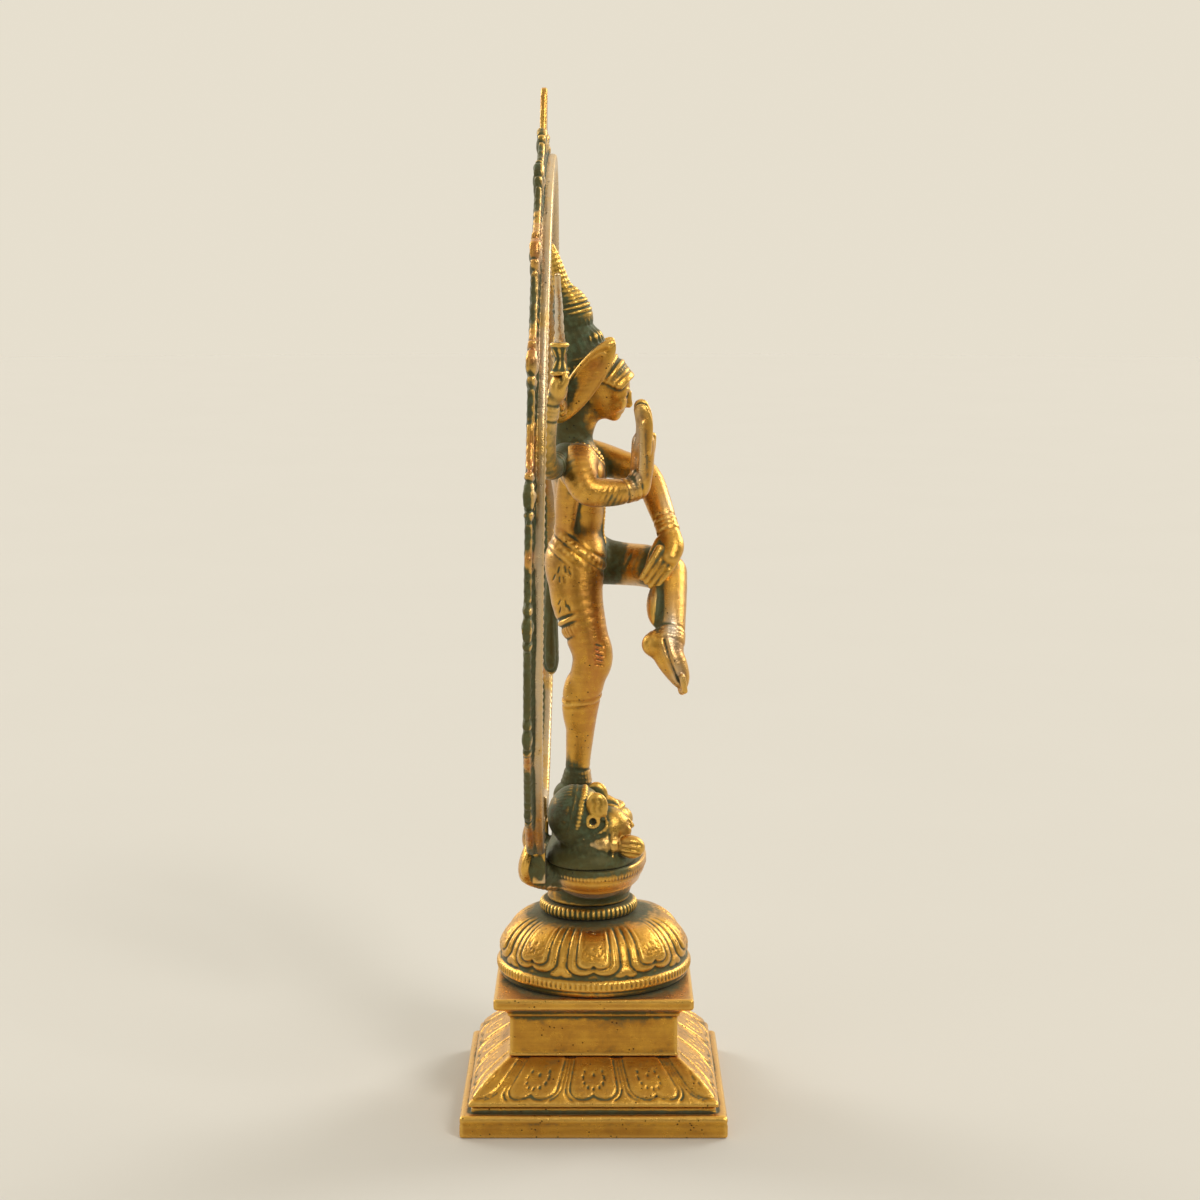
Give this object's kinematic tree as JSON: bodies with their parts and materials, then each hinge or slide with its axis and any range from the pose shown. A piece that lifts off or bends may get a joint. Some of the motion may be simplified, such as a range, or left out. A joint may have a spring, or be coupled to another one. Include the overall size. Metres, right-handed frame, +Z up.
{
  "type": "brass nataraja statue",
  "caption": "Brass statue of a four-armed dancer on a dwarf and lotus pedestal, with an oval ring of flames behind.",
  "frame": {"origin": "middle of the base, on the surface it stands on", "axes": "+Z up, the dancer faces -Y, the dancer's right side is -X"},
  "size_m": [0.2362, 0.092, 0.356],
  "materials": {
    "brass": "cast brass, brushed on the high places, brown and green in the hollows",
    "patina_brass": "cast brass with dark green and olive patina, worn bright on the edges",
    "steel": "plain steel tie rod, washer and nut, dull"
  },
  "bodies": {
    "root": {"plinth_frame": "brass", "petal_skirt": "brass", "waist_block": "brass", "lotus_dome": "brass", "neck_collar": "patina_brass", "dwarf_pad": "brass", "dwarf": "patina_brass", "figure_body": "brass", "raised_leg": "brass", "front_right_arm": "brass", "front_left_arm": "brass", "rear_right_arm": "patina_brass", "rear_left_arm": "patina_brass", "hand_drum": "patina_brass", "flame_bowl": "patina_brass", "crown": "patina_brass", "hair_wing_right": "brass", "hair_wing_left": "brass", "hair_locks_right": "patina_brass", "hair_locks_left": "patina_brass", "waist_sash": "patina_brass", "flame_ring": "patina_brass", "ring_pin_right": "brass", "ring_pin_left": "brass", "tie_rod": "steel", "tie_washer": "steel", "tie_nut": "steel"}
  },
  "joints": []
}
